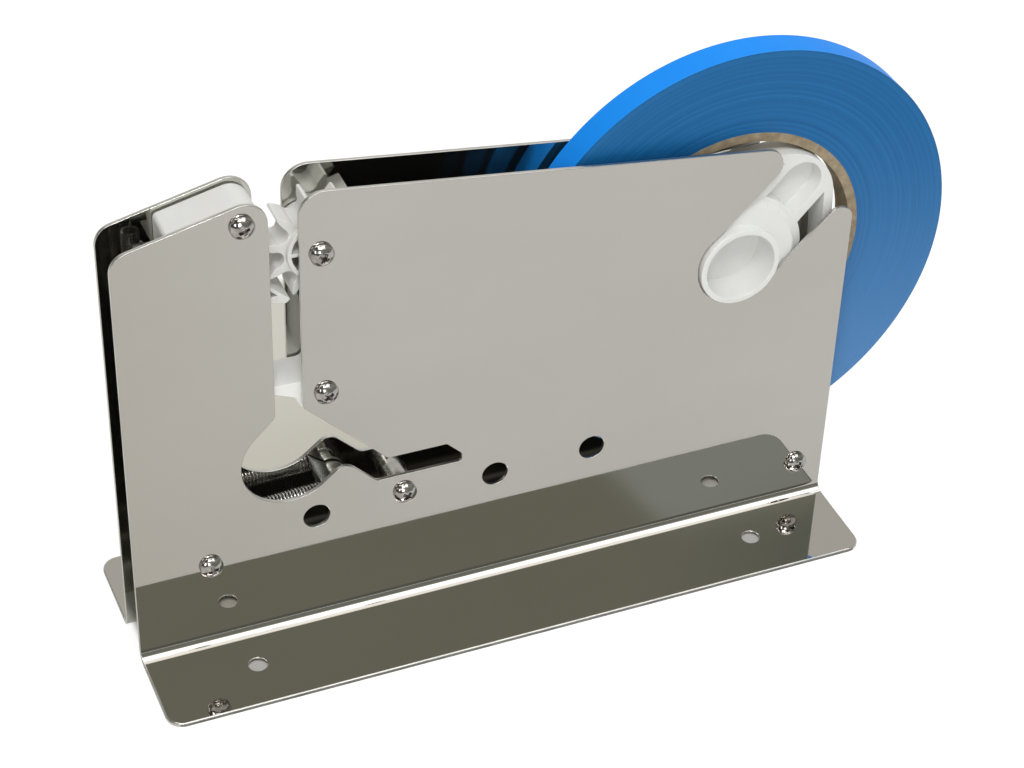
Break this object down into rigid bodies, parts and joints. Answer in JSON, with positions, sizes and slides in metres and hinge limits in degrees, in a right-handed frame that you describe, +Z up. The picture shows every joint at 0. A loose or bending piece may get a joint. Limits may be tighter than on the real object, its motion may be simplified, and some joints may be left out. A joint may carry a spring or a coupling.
{
  "type": "bag neck sealer",
  "caption": "Bench device that tapes the neck of a bag pushed down a slot between bent steel plates, with a sprung pawl, star wheel, knife gate and a tape roll on a lift-out hub.",
  "frame": {"origin": "middle of the four flange holes, on the plane that the two foot flanges stand on", "axes": "+X along the plates towards the tape roll, +Y across from the front plate to the back plate, +Z up"},
  "size_m": [0.2523, 0.0754, 0.1632],
  "materials": {
    "steel_sheet": "fine brushed, nearly mirror-bright stainless sheet",
    "chrome_screws": "bright plated screw heads",
    "turned_steel": "turned steel",
    "spring_steel": "drawn spring wire",
    "blade_steel": "ground blade steel",
    "white_plastic": "satin moulded acetal",
    "core_board": "wound brown board",
    "blue_tape": "blue film tape with fine winding lines"
  },
  "bodies": {
    "frame": {"front_plate": "steel_sheet", "back_plate": "steel_sheet", "front_screws": "chrome_screws", "back_screws": "chrome_screws", "plate_spacers": "turned_steel", "pawl_pivot": "turned_steel", "star_spindle": "turned_steel", "gate_pivot": "turned_steel", "catch_pivot": "turned_steel", "anchor_pins": "turned_steel", "pawl_spring": "spring_steel", "gate_spring": "spring_steel", "catch_spring": "spring_steel"},
    "star": {"star_wheel": "white_plastic"},
    "pawl": {"pawl_lever": "white_plastic", "pawl_pin": "turned_steel"},
    "gate": {"gate_lever": "white_plastic", "tape_knife": "blade_steel", "knife_screws": "chrome_screws"},
    "catch": {"catch_lever": "steel_sheet", "catch_roller": "turned_steel", "catch_blade": "blade_steel"},
    "roll": {"hub": "white_plastic", "tape_core": "core_board", "tape_roll": "blue_tape"}
  },
  "joints": [
    {"name": "pawl_swing", "type": "hinge", "parent": "frame", "child": "pawl", "pos_m": [-0.0742, 0, 0.1429], "axis": [0, 1, 0], "range_deg": [0, 14], "stiffness_Nm_per_rad": 0.5, "springref_deg": -11.46, "deforming": ["pawl_spring"]},
    {"name": "star_spin", "type": "hinge", "parent": "frame", "child": "star", "pos_m": [-0.0526, 0, 0.1292], "axis": [0, 1, 0], "continuous": true},
    {"name": "gate_swing", "type": "hinge", "parent": "frame", "child": "gate", "pos_m": [-0.0521, 0, 0.0827], "axis": [0, -1, 0], "range_deg": [0, 55], "stiffness_Nm_per_rad": 0.1, "springref_deg": -17.19, "deforming": ["gate_spring"]},
    {"name": "catch_swing", "type": "hinge", "parent": "frame", "child": "catch", "pos_m": [-0.04, 0, 0.027], "axis": [0, 1, 0], "range_deg": [0, 10], "stiffness_Nm_per_rad": 0.3, "springref_deg": -5.73, "deforming": ["catch_spring"]},
    {"name": "roll_spin", "type": "hinge", "parent": "frame", "child": "roll", "pos_m": [0.07384, 0, 0.09536], "axis": [0, 1, 0], "continuous": true}
  ]
}
